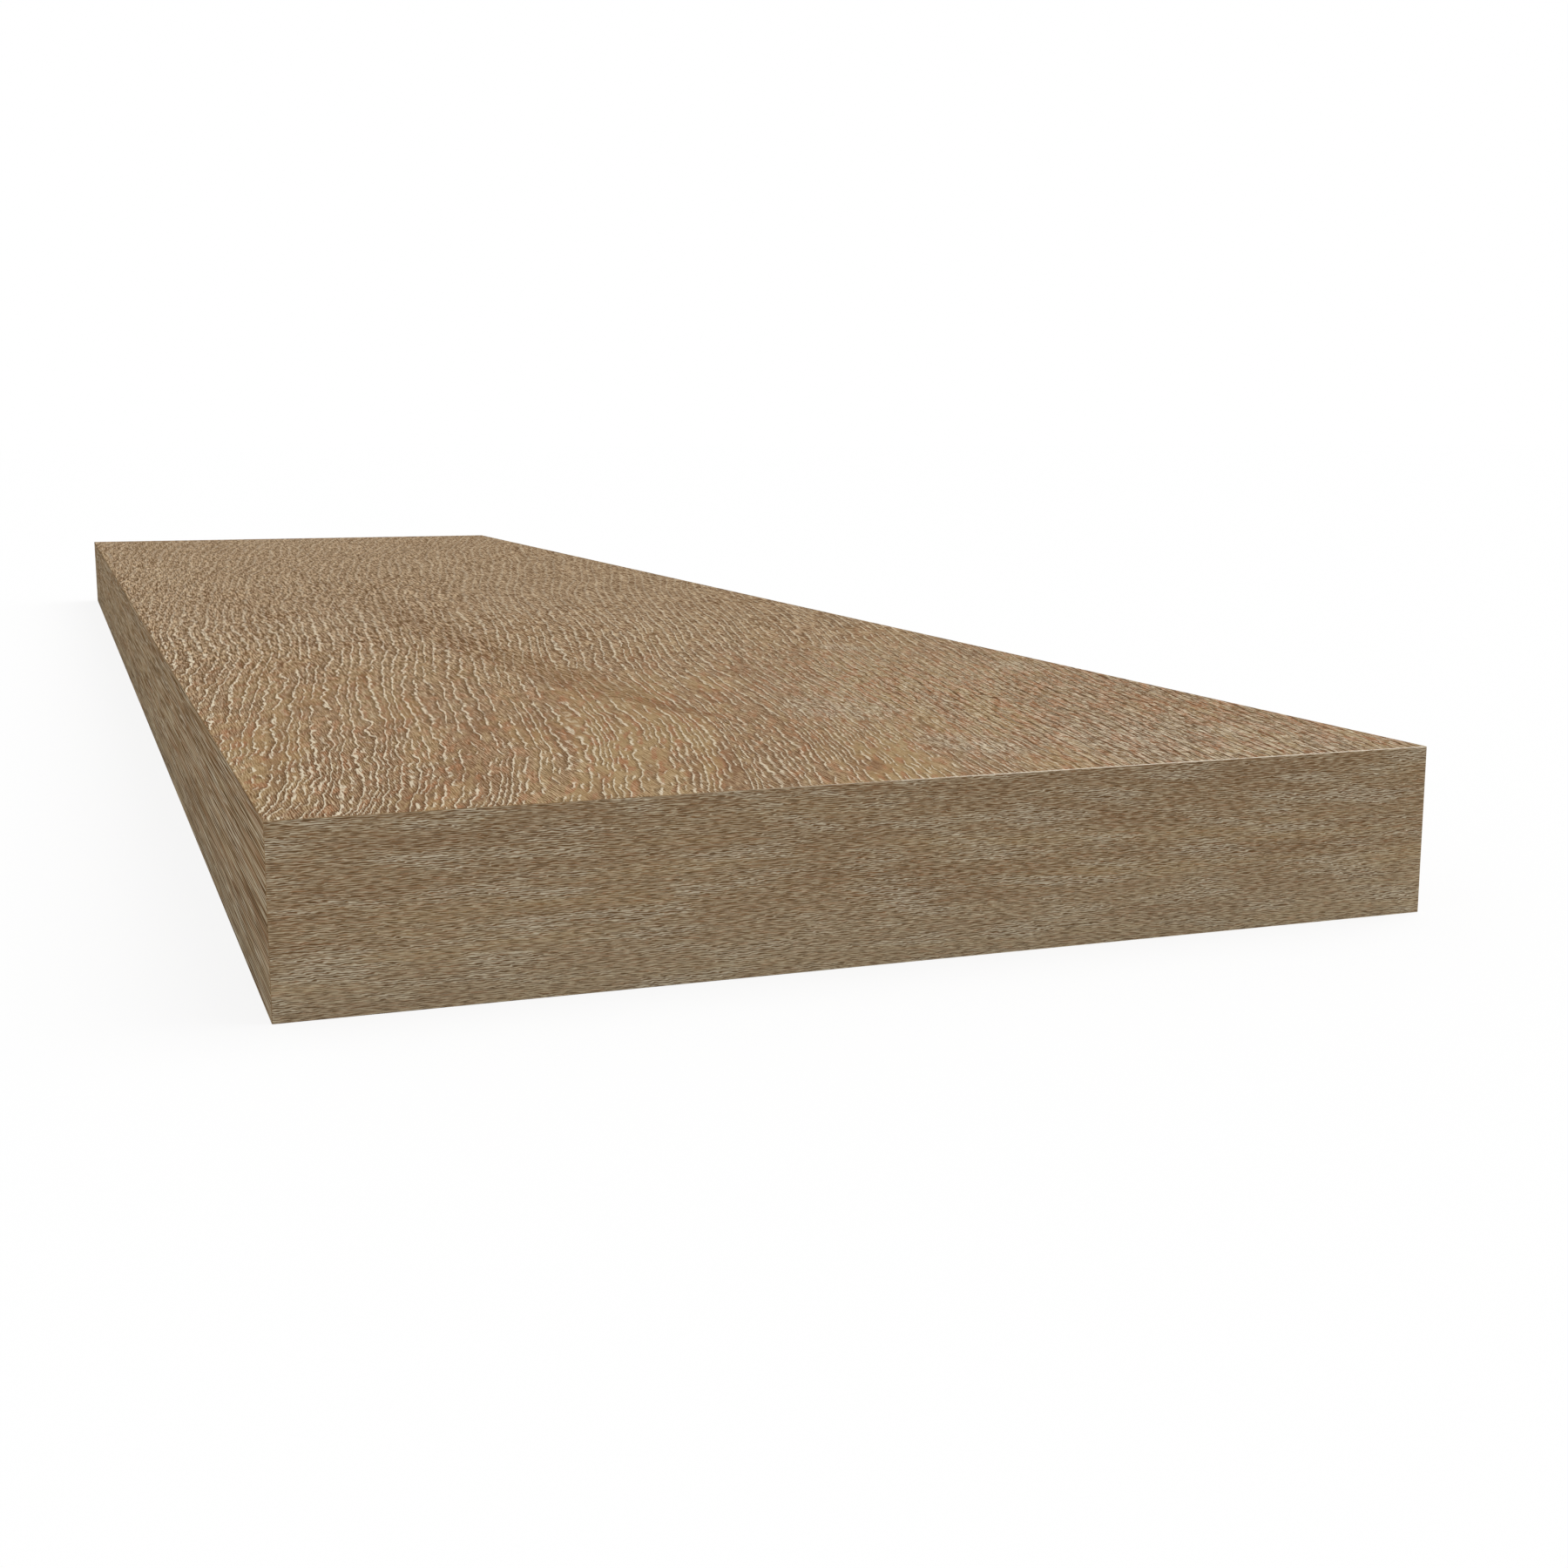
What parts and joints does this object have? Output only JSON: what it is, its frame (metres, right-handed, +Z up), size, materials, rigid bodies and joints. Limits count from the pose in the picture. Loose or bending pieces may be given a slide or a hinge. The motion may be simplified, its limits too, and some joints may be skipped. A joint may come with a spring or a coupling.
{
  "type": "stair tread",
  "caption": "Thick square-edged stair tread, a plain rectangular board with a brushed, limed wood grain on its faces and finely broken arrises.",
  "frame": {"origin": "middle of the underside", "axes": "+X along the tread towards the end on the right of someone going up, +Y from the front edge to the back edge, +Z up"},
  "size_m": [1.2, 0.3, 0.045],
  "materials": {
    "limed_oak": "matt, brushed along the grain, with pale lime left in the open pores"
  },
  "bodies": {
    "root": {"tread": "limed_oak"}
  },
  "joints": []
}
